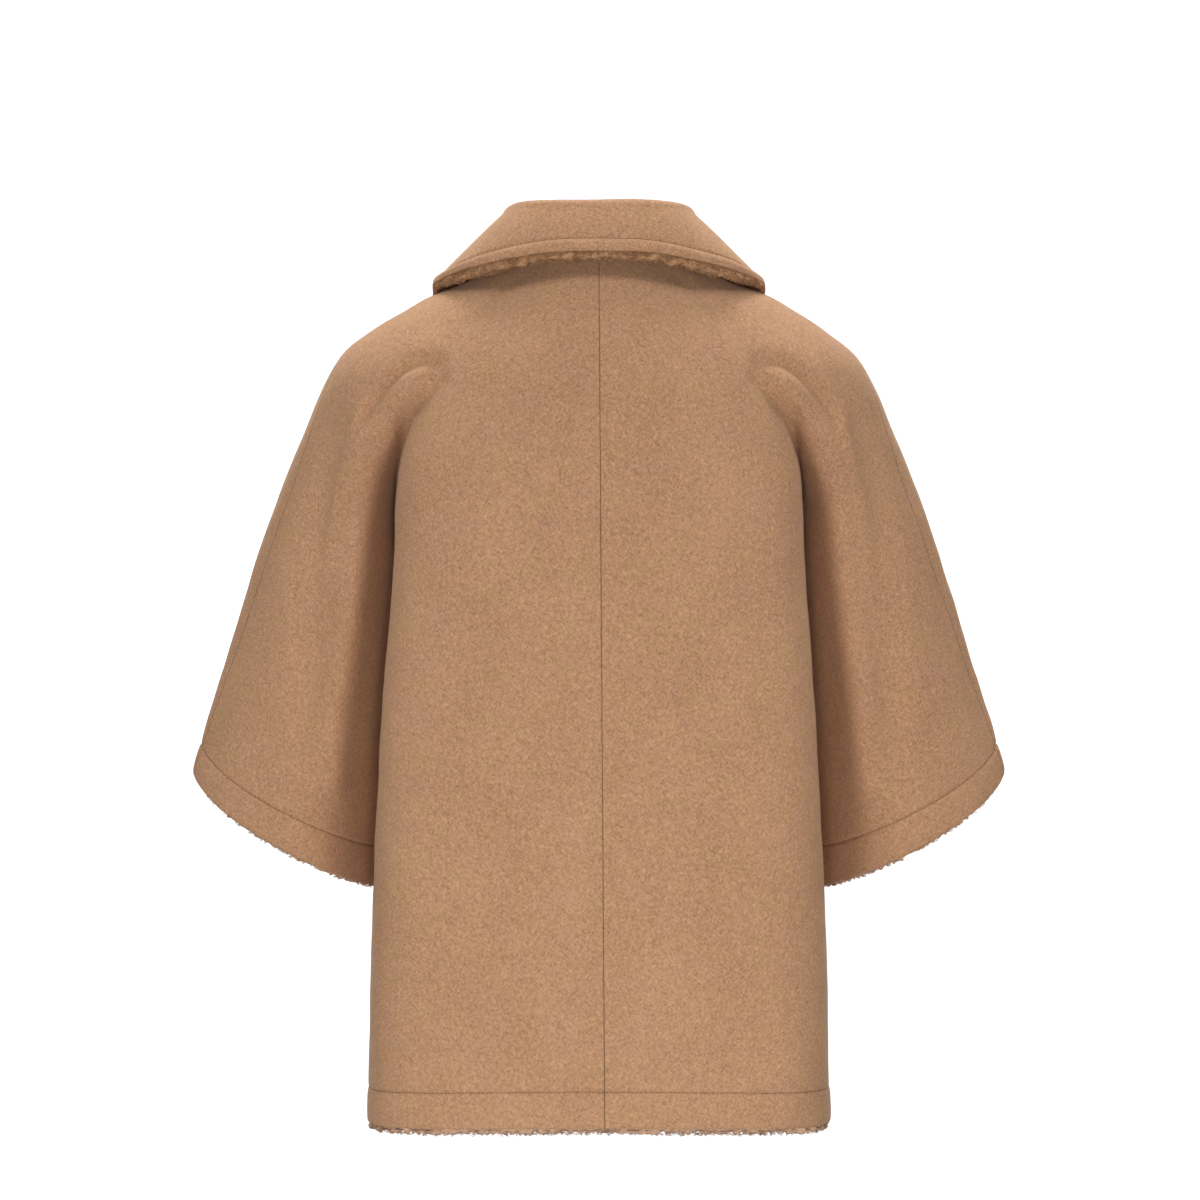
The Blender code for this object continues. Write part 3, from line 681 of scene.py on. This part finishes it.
def stitches(name, line, normals, finish):
    """Stitches along a line of points on the cloth, each a small grain of thread closed to a point."""
    around = circle(THREAD_SIDES)
    shape = np.array([(x, r * math.cos(t), r * math.sin(t)) for x, r in STITCH_RINGS for t in around])
    places = np.arange(STITCH_PITCH / 2, lengths(line)[-1] - STITCH_PITCH / 2, STITCH_PITCH)
    middle, ahead = points_at(line, places), points_at(line, places + STITCH_PITCH / 4)
    way, across, up = axes_along(ahead - middle, values_at(line, normals, places))
    sizes = np.stack([way * STITCH_LENGTH, across * THREAD_RADIUS, up * THREAD_RADIUS], axis=1)
    points = middle[:, None] + shape @ sizes
    faces = tube_faces(len(STITCH_RINGS), THREAD_SIDES) + len(shape) * np.arange(len(places))[:, None, None]
    return mesh_object(name, points.reshape(-1, 3), faces.reshape(-1, 4), finish)


def seam_shade_cord(name, line, normals, finish):
    """A fine dark cord in the thread's colour at the bottom of the groove where two panels meet: painted
    shade that darkens the seam's line.
    """
    _, across, up = axes_along(np.gradient(line, axis=0), normals)
    middle = line - up * SEAM_DEPTH
    ring = [middle + (across * math.cos(t) + up * math.sin(t)) * THREAD_RADIUS for t in circle(THREAD_SIDES)]
    points = np.stack(ring, axis=1).reshape(-1, 3)
    return mesh_object(name, points, tube_faces(len(line), THREAD_SIDES), finish)


# ---- Pile ----

# Kinds of pile: thickness, number, height and radius of its curls, how far up from the rim they stand, the
# height up to which they stand on both its sides, and the height of the soft lumps under them.
Pile = namedtuple("Pile", "thick count tall radius reach bare lumps")
PILES = {
    "collar": Pile(0.0034, 6000, 0.0026, 0.00042, 0.010, 0.0080, 0.0036),
    "hem": Pile(0.0040, 1500, 0.0013, 0.00040, 0.008, 0.0036, 0.0040),
    "cuff": Pile(0.0040, 1100, 0.0013, 0.00040, 0.008, 0.0010, 0.0028),
}
CURL_POINTS = 5
CURL_SIDES = 3
CURL_TALL = (0.55, 1.25)  # a curl's least and greatest share of the height
CURL_WIDE = (0.0006, 0.0013)
CURL_TURNS = (0.7, 1.3)
CURL_BEND = 0.75  # half turns that its rise makes, so that its tip bends back
CURL_TAPER = 0.75  # the share of its radius that it loses to the tip
CLUMP = 0.0060  # from the middle of one clump of curls to the next
CLUMP_TALL = (0.65, 1.35)
CLUMP_SPREAD = 0.33
LEAN_OUT = 1.75  # how far a curl leans off the rim's own direction at most, in radians
LEAN_INSIDE = 1.2  # how far it leans inwards at least, higher up
STRAY = 0.25
LEAST_PEEK = 0.10
RIM_CROWD = 1.4  # the more, the closer the curls crowd to the rim
ROOT_OUT = 0.3  # the share of the pile's thickness that roots lie out from its middle
COLLAR_SEED = 31
FIRST_SEED = 110  # of the pieces of pile in hem and cuffs, each of which takes the next ten
PILE_STEP = 0.0020
LUMPS = ((1.0, 0.0085), (0.55, 0.0040))  # share and size of the lumps
FLUFF_REACH = 0.0065  # the lumps fade out over this width, up to FLUFF_END from the rim
FLUFF_END = 0.0091


def curls(name, roots, ways, height, radius, seed, finish):
    """A curled fibre of its own height on each root: a tube that thins to its tip and bends round."""
    chance = np.random.default_rng(seed)
    n = len(roots)
    ways = unit(ways)
    first = unit(np.cross(ways, chance.normal(size=(n, 3))))
    second = np.cross(ways, first)
    t = np.linspace(0, 1, CURL_POINTS)
    tall = height * chance.uniform(*CURL_TALL, n)
    wide = chance.uniform(*CURL_WIDE, n)
    angle = (chance.uniform(*CURL_TURNS, n) * 2 * math.pi)[:, None] * t
    rise = tall[:, None] * np.sin(CURL_BEND * math.pi * t)
    centre = (
        roots[:, None]
        + ways[:, None] * rise[..., None]
        + first[:, None] * (wide[:, None] * (np.cos(angle) - 1))[..., None]
        + second[:, None] * (wide[:, None] * np.sin(angle))[..., None]
    )
    tangent = unit(np.gradient(centre, axis=1))
    side = unit(np.cross(tangent, ways[:, None] + 0.3 * first[:, None]))
    top = np.cross(tangent, side)
    thick = (radius * (1 - CURL_TAPER * t**2))[None, :, None]
    rings = [centre + (side * math.cos(a) + top * math.sin(a)) * thick for a in circle(CURL_SIDES)]
    points = np.stack(rings, axis=2).reshape(-1, 3)
    faces = tube_faces(CURL_POINTS, CURL_SIDES) + CURL_POINTS * CURL_SIDES * np.arange(n)[:, None, None]
    return mesh_object(name, points, faces.reshape(-1, 4), finish)


def rim_roots(rim, normals, downs, peek, pile, seed):
    """Roots, directions and relative heights of curls round the lower rim of a piece of pile.

    They gather in clumps, some taller than others, and are shorter where the pile peeks out less.
    """
    chance = np.random.default_rng(seed)
    count, along = pile.count, lengths(rim)
    clumps = int(along[-1] / CLUMP)
    clump = chance.integers(0, clumps, count)
    middles = (np.arange(clumps) + chance.uniform(0.2, 0.8, clumps)) * along[-1] / clumps
    place = np.clip(middles[clump] + chance.normal(scale=CLUMP_SPREAD * CLUMP, size=count), 0, along[-1])
    shown = np.clip(np.interp(place, along, peek) / PEEK["hem"], LEAST_PEEK, 1)
    tall = chance.uniform(*CLUMP_TALL, clumps)[clump] * shown
    up = pile.reach * chance.uniform(0, 1, count) ** RIM_CROWD
    either_way = chance.uniform(-LEAN_OUT, LEAN_OUT, count)
    lean_out = np.where(up < pile.bare, either_way, chance.uniform(-LEAN_OUT, -LEAN_INSIDE, count))
    normal, down = values_at(rim, normals, place), values_at(rim, downs, place)
    ways = down * np.cos(lean_out)[:, None] + normal * np.sin(lean_out)[:, None]
    roots = points_at(rim, place) - down * up[:, None] + ways * pile.thick * ROOT_OUT
    return roots, ways + chance.normal(scale=STRAY, size=(count, 3)), tall


def curly_pile(name, sheet, normals, quads, rim, downs, peek, pile, seeds, finish):
    """A piece of pile with soft lumps along its rim, and the curls that stand on them.

    rim holds the indices of its lower edge, and downs the way down there. seeds are of roots, curls, lumps.
    """
    middle = sheet[rim] - normals[rim] * pile.thick / 2
    points, faces = rolled_shell(sheet, normals, quads, pile.thick)
    away = np.full(len(points), np.inf)
    for place in middle:
        away = np.minimum(away, size_of(points - place))
    swell = sum(share * ripple(points, size, seeds[2] + k) for k, (share, size) in enumerate(LUMPS))
    swell *= pile.lumps * smooth((FLUFF_END - away) / FLUFF_REACH)
    points = points + vertex_normals(points, faces) * swell[:, None]
    made = mesh_object(f"{name}_pile", points, faces, finish)
    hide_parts(name)
    roots, ways, tall = rim_roots(middle, normals[rim], downs, peek, pile, seeds[0])
    fringe = curls(f"{name}_curls", roots, ways, pile.tall * tall, pile.radius, seeds[1], finish)
    return made, fringe


class Band(Cloth):
    """A band of pile inside a hem or cuff, from its stitches to below the edge, in even columns."""

    def __init__(self, panel, part, first=0):
        super().__init__(panel.side)
        rows, levels = panel.tubes[part]
        kept = rows[levels >= STITCH_LEVEL[part] - 1e-6, first:]
        last, before = kept[-1], kept[-3]
        steps = int(lengths(panel.points[last])[-1] / PILE_STEP)

        def even(row, values):
            line = panel.points[row]
            return values_at(line, values, np.linspace(0, lengths(line)[-1], steps))

        self.down = even(last, unit(panel.points[last] - panel.points[before]))
        lines = [even(row, panel.points[row]) for row in kept]
        lines += [lines[-1] + self.down * PEEK[part] * f for f in (0.5, 1)]
        self.join([self.add(line) for line in lines])
        normals = [even(row, panel.normals[row]) for row in kept]
        self.finish()
        self.normals = unit(np.concatenate(normals + [normals[-1]] * 2))
        self.rim = np.arange(steps) + len(self.points) - steps


def band_object(name, part, band, hand, seed, finish):
    """The pile band of a hem or cuff, and the curls along its rim."""
    lift = np.full(len(band.points), -(WOOL + FACING_GAP))
    skin, normals, quads = on_side(band, lift, hand)
    peek = np.full(len(band.rim), PEEK[part])
    downs, seeds = mirrored(band.down, hand), (seed, seed + 1, seed + 2)
    return curly_pile(name, skin, normals, quads, band.rim, downs, peek, PILES[part], seeds, finish)


# ---- Collar ----

COLLAR_UNSEWN = 6  # stations at either end without stitches


def neck_line():
    """The neck seam on the wearer's left, from the centre back to the centre front."""
    halves = [np.concatenate([body_row(0, side), sleeve_row(0, side)[1:]]) for side in ("back", "front")]
    return np.concatenate([halves[0], halves[1][::-1][1:]])


def collar_lengths(total):
    """How far along a section of the collar its points lie, closer together at stitches and edge."""
    stitch = total - COLLAR_STITCH
    by_stitch = stitch + np.array(ROWS_AT_STITCH[1:-1])
    to_stitch = np.linspace(0, by_stitch[0], POINTS_TO_STITCH)[:-1]
    edge = total - np.array(NEAR_EDGE[2::-1])
    return np.concatenate([to_stitch, by_stitch, [(by_stitch[-1] + edge[0]) / 2], edge])


def collar_section(station, neck):
    """Points from the neck seam up the stand, over the crest, down to the leaf's edge, then the pile's."""
    row = at(COLLAR, station)
    foot = points_at(neck, [row["neck"] * lengths(neck)[-1]])[0]
    foot[2] += row["rise"]
    crest, edge = (np.array([row[f"{end}_{axis}"] for axis in "xyz"]) for end in ("crest", "edge"))
    out = unit((edge - crest) * [1, 1, 0])
    up = np.array([0, 0, 1])
    over = np.linspace(0, math.pi, CREST_POINTS)
    points = [foot, *(crest + CREST * (-math.cos(t) * out + math.sin(t) * up) for t in over)]
    start = points[-1]
    leaf_out = np.cross(np.cross(edge - start, out), edge - start)
    leaf_out *= np.sign(leaf_out @ out) / size_of(leaf_out)
    for f in np.linspace(0, 1, LEAF_POINTS)[1:]:
        points.append(start + (edge - start) * f + leaf_out * LEAF_RISE * math.sin(math.pi * f))
    points = np.array(points)
    down = unit(points[-1] - points[-3])
    on_cloth = points_at(points, collar_lengths(lengths(points)[-1]))
    return np.concatenate([on_cloth, [edge + down * row["peek"] * f for f in (0.5, 1)]])


def collar(wool, pile, thread):
    """The wool upper side, the pile underside, the stitches and the curls along the leaf's edge."""
    neck = neck_line()
    half = [collar_section(s, neck) for s in np.linspace(0, len(COLLAR["neck"]) - 1, COLLAR_STATIONS)]
    ring = np.array([s * [-1, 1, 1] for s in half[:0:-1]] + half)
    stations, across = ring.shape[:2]
    under, upper = Cloth("front"), Cloth("front")
    under.join([under.add(section) for section in ring])
    under.finish()
    upper.join([upper.add(section[:-2]) for section in ring])
    upper.finish()
    normals = under.normals.reshape(ring.shape)
    flat_normals = normals[:, :-2].reshape(-1, 3)
    outer = upper.points + flat_normals * (GAP + WOOL)
    along = lengths(ring[stations // 2, :-2])
    below = along - (along[-1] - COLLAR_STITCH)
    height, size, seed = COLLAR_UNEVEN
    dent = np.tile(stitch_dent(below, COLLAR_STITCH, COLLAR_PUFF), stations)
    skin = outer + flat_normals * (dent + height * ripple(outer, size, seed))[:, None]
    points, faces = rolled_shell(skin, flat_normals, upper.quads, WOOL)
    cloth = mesh_object("collar_cloth", points, faces, wool)
    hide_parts("collar")
    sewn = (slice(COLLAR_UNSEWN, -COLLAR_UNSEWN), int(np.argmin(np.abs(below))))
    skin_rows = skin.reshape(stations, -1, 3)
    thread_piece = stitches("collar_stitches", skin_rows[sewn], normals[sewn], thread)
    rim = np.arange(stations) * across + across - 1
    downs = unit(ring[:, -1] - ring[:, -2])
    peek = size_of(ring[:, -1] - ring[:, -3])
    seeds = (COLLAR_SEED, COLLAR_SEED + 1, COLLAR_SEED + 3)
    sheet = (under.points, under.normals, under.quads)
    pile_piece, fringe = curly_pile("under_collar", *sheet, rim, downs, peek, PILES["collar"], seeds, pile)


# ---- Materials ----


def put(node, values):
    """Sets inputs of a node."""
    for socket, value in values.items():
        node.inputs[socket].default_value = value


def shader(name, roughness, sheen=0.0, tint=(1, 1, 1)):
    """A cloth material with the numbers that are the same all over it, and its nodes."""
    made = bpy.data.materials.new(name)
    made.use_nodes = True
    surface = made.node_tree.nodes["Principled BSDF"]
    put(surface, {"Roughness": roughness, "Specular IOR Level": 0.25})
    put(surface, {"Sheen Weight": sheen, "Sheen Roughness": 0.5, "Sheen Tint": (*tint, 1)})
    return made, made.node_tree, surface


def noise(tree, scale, stretch=1.0, detail=2, turn=(0, 0, 0), waves=0.0):
    """Noise in the object's own coordinates: scale features a metre, stretched along a Z that is turned."""
    coords = tree.nodes.new("ShaderNodeTexCoord")
    place = tree.nodes.new("ShaderNodeMapping")
    place.vector_type = "TEXTURE"
    put(place, {"Scale": (1, 1, stretch), "Rotation": turn})
    made = tree.nodes.new("ShaderNodeTexNoise")
    put(made, {"Scale": scale, "Detail": detail, "Roughness": 0.6, "Distortion": waves})
    tree.links.new(coords.outputs["Object"], place.inputs["Vector"])
    tree.links.new(place.outputs["Vector"], made.inputs["Vector"])
    return made.outputs["Fac"]


def weighted(tree, parts):
    """The sum of values, each times its weight."""
    total = None
    for value, weight in parts:
        times = tree.nodes.new("ShaderNodeMath")
        times.operation = "MULTIPLY_ADD"
        put(times, {1: weight, 2: 0.0})
        tree.links.new(value, times.inputs[0])
        if total is not None:
            tree.links.new(total, times.inputs[2])
        total = times.outputs[0]
    return total


def between(tree, value, low, high):
    """A colour that goes from one to another as the value does. Each end is a value and a colour."""
    ramp = tree.nodes.new("ShaderNodeValToRGB")
    for stop, (place, colour) in zip(ramp.color_ramp.elements, (low, high)):
        stop.position = place
        stop.color = (*colour, 1)
    tree.links.new(value, ramp.inputs["Fac"])
    return ramp.outputs["Color"]


def coloured(tree, surface, value, low, high):
    """Base colour from a value."""
    tree.links.new(between(tree, value, low, high), surface.inputs["Base Color"])


def tinted(tree, surface, base, value, low, high):
    """Base colour that is multiplied by a second one, which also follows a value."""
    mix = tree.nodes.new("ShaderNodeMix")
    mix.data_type = "RGBA"
    mix.blend_type = "MULTIPLY"
    put(mix, {"Factor": 1.0})
    tree.links.new(base, mix.inputs[6])
    tree.links.new(between(tree, value, low, high), mix.inputs[7])
    tree.links.new(mix.outputs[2], surface.inputs["Base Color"])


def bumped(tree, surface, value, distance, strength):
    bump = tree.nodes.new("ShaderNodeBump")
    put(bump, {"Distance": distance, "Strength": strength})
    tree.links.new(value, bump.inputs["Height"])
    tree.links.new(bump.outputs["Normal"], surface.inputs["Normal"])


def wool_material():
    """Brushed camel wool: short wavy fibres both ways across the cloth, mottling, and soft clouds of hue."""
    made, tree, surface = shader("wool_nap", 0.92, 0.22, (1.0, 0.82, 0.60))
    right = noise(tree, 900, stretch=3.0, detail=1, turn=(0.1, 0.85, 0.0), waves=0.8)
    left = noise(tree, 980, stretch=3.0, detail=1, turn=(0.1, -0.65, 0.0), waves=0.8)
    mottle = noise(tree, 200, stretch=1.4)
    cloud = noise(tree, 16, stretch=1.3)
    value = weighted(tree, ((right, 0.41), (left, 0.41), (mottle, 0.08), (cloud, 0.10)))
    base = between(tree, value, (0.36, (0.352, 0.182, 0.094)), (0.64, (0.668, 0.388, 0.228)))
    tinted(tree, surface, base, noise(tree, 46), (0.36, (0.995, 1.0, 0.93)), (0.64, (1.0, 0.972, 1.0)))
    nap = weighted(tree, ((right, 0.5), (left, 0.5), (mottle, 0.3)))
    bumped(tree, surface, nap, distance=0.0009, strength=0.55)
    return made


def pile_material(name, dark, light):
    """Curly pile between a dark and a light tone."""
    made, tree, surface = shader(name, 1.0, 0.10, (1.0, 0.80, 0.60))
    curl = noise(tree, 420, detail=3)
    value = weighted(tree, ((curl, 0.55), (noise(tree, 110), 0.45)))
    coloured(tree, surface, value, (0.34, dark), (0.66, light))
    bumped(tree, surface, curl, distance=0.002, strength=0.8)
    return made


def thread_material():
    """Brown sewing thread."""
    made, tree, surface = shader("thread", 0.7)
    twist = noise(tree, 1600, detail=1)
    coloured(tree, surface, twist, (0.35, (0.110, 0.052, 0.022)), (0.65, (0.190, 0.098, 0.045)))
    return made


def backdrop_material():
    """White paper that glows a little, so that no shadow shows on it."""
    made, tree, surface = shader("backdrop", 1.0)
    tone = noise(tree, 0.6, detail=1)
    coloured(tree, surface, tone, (0.3, (0.86, 0.86, 0.86)), (0.7, (0.89, 0.89, 0.89)))
    put(surface, {"Emission Color": (1, 1, 1, 1), "Emission Strength": 1.0})
    return made


# ---- Studio ----

FLOOR_Z = -1.45
STUDIO_RADIUS = 5.5
STUDIO_TOP = 3.2
STUDIO_SIDES = 96
COVE = 1.6  # radius of the curve from floor to wall
COVE_POINTS = 17


def studio():
    """A pale round floor that curves up into a wall all the way round."""
    flat, rise = STUDIO_RADIUS - COVE, np.linspace(0, math.pi / 2, COVE_POINTS)
    profile = [(flat + COVE * math.sin(t), FLOOR_Z + COVE * (1 - math.cos(t))) for t in rise]
    profile.append((STUDIO_RADIUS, STUDIO_TOP))
    points = [(r * math.cos(a), r * math.sin(a), z) for r, z in profile for a in circle(STUDIO_SIDES)]
    points = np.array([*points, (0, 0, FLOOR_Z)])
    faces = tube_faces(len(profile), STUDIO_SIDES).tolist()
    faces += [(len(points) - 1, (k + 1) % STUDIO_SIDES, k) for k in range(STUDIO_SIDES)]
    made = new_mesh("studio", points, faces, backdrop_material())
    made.visible_diffuse = False
    made.visible_glossy = False


LAMP_SIZE = 0.9
AMBIENT = 0.01
LAMPS = (
    # name, place, height of its aim on the middle line, and watts; each that stands off that line is a pair
    ("back", (0.0, 3.50, -0.35), -0.35, 32),
    ("back", (1.67, 2.90, -1.36), -0.35, 26),
    ("low", (2.76, 1.93, -1.32), -0.35, 19),
    ("high", (1.19, 1.42, 2.62), -0.10, 21),
    ("side", (2.82, -0.50, 1.66), -0.10, 21),
    ("top", (0.0, -0.80, 2.60), -0.10, 70),
    ("below", (0.0, 1.10, -1.38), -0.70, 4),
    ("front", (1.75, -3.03, 0.10), -0.35, 40),
)


def lamp(name, place, aim_z, watts):
    """A square soft light."""
    light = bpy.data.lights.new(name, "AREA")
    light.shape = "RECTANGLE"
    light.size, light.size_y, light.energy = LAMP_SIZE, LAMP_SIZE, watts
    made = bpy.data.objects.new(name, light)
    made.location = place
    x, y, z = -place[0], -place[1], aim_z - place[2]
    made.rotation_euler = (math.atan2(math.hypot(x, y), -z), 0, math.atan2(x, -y) + math.pi)
    bpy.context.scene.collection.objects.link(made)


def lights():
    """The lamps, a faint even light from all round, and colours that show as they are."""
    for name, (x, y, z), aim_z, watts in LAMPS:
        for hand, way in (("_left", 1), ("_right", -1)) if x else (("", 1),):
            lamp(name + hand, (way * x, y, z), aim_z, watts)
    world = bpy.data.worlds.new("studio_light")
    world.use_nodes = True
    put(world.node_tree.nodes["Background"], {"Color": (1, 1, 1, 1), "Strength": AMBIENT})
    bpy.context.scene.world = world
    bpy.context.scene.view_settings.view_transform = "Standard"


PIXEL = 0.00088  # metres to a pixel at the middle of the cape
FRAME_PIXELS = 1200
CAMERA_PLACE = (-0.001, 3.3, -0.295)
SENSOR = 36  # millimetres


def camera():
    """Level, behind the cape and looking at its back."""
    lens = bpy.data.cameras.new("camera")
    lens.sensor_width = SENSOR
    lens.lens = SENSOR * CAMERA_PLACE[1] / (FRAME_PIXELS * PIXEL)
    made = bpy.data.objects.new("camera", lens)
    made.location = CAMERA_PLACE
    made.rotation_euler = (math.pi / 2, 0, math.pi)
    bpy.context.scene.collection.objects.link(made)
    bpy.context.scene.camera = made


# ---- Putting the cape together ----


def body_and_sleeves(wool, pile, thread):
    """The four panels, their pile bands and their stitches, each built as the sheet it was cut as."""
    back, front = Panel("back"), Panel("front", -LAP)
    sew(back, front)
    clear = int(np.argmax(front.points[front.body[-1], 0] > LAP + LAP_CLEAR))
    seed = FIRST_SEED
    for hand in ("left", "right"):
        for cloth in (back, front):
            name = f"{cloth.side}_{hand}"
            made, skin, normals = panel_object(name, cloth, hand, wool)
            for part, (rows, levels) in cloth.tubes.items():
                row = rows[int(np.argmin(np.abs(levels - STITCH_LEVEL[part])))]
                stitches(f"{part}_stitches_{name}", skin[row], normals[row], thread)
            # The cords along the overarm and centre back seams are painted shade that darkens the grooves'
            # lines.
            if cloth is back:
                line = cloth.overarm
                seam_shade_cord(f"overarm_seam_{hand}", skin[line], normals[line], thread)
            if cloth is back and hand == "left":
                line = cloth.centre
                seam_shade_cord("centre_back_seam", skin[line], normals[line], thread)
            for part in cloth.tubes:
                under_lap = cloth is front and hand == "right" and part == "hem"
                band = Band(cloth, part, clear if under_lap else 0)
                band_piece, curl_piece = band_object(f"{part}_facing_{name}", part, band, hand, seed, pile)
                seed += 10


wool, thread = wool_material(), thread_material()
# One pile in two tones: the copy under the collar is darker, as painted shade, and the copy at hem and cuffs
# is lighter, as painted light from below.
pile_in_painted_shade = pile_material("pile_under_collar_painted_shade", (0.340, 0.160, 0.070), (0.700, 0.400, 0.210))
pile_in_painted_light = pile_material("pile_at_edges_painted_light", (0.520, 0.300, 0.175), (0.820, 0.540, 0.370))
body_and_sleeves(wool, pile_in_painted_light, thread)
collar(wool, pile_in_painted_shade, thread)
studio()
lights()
camera()
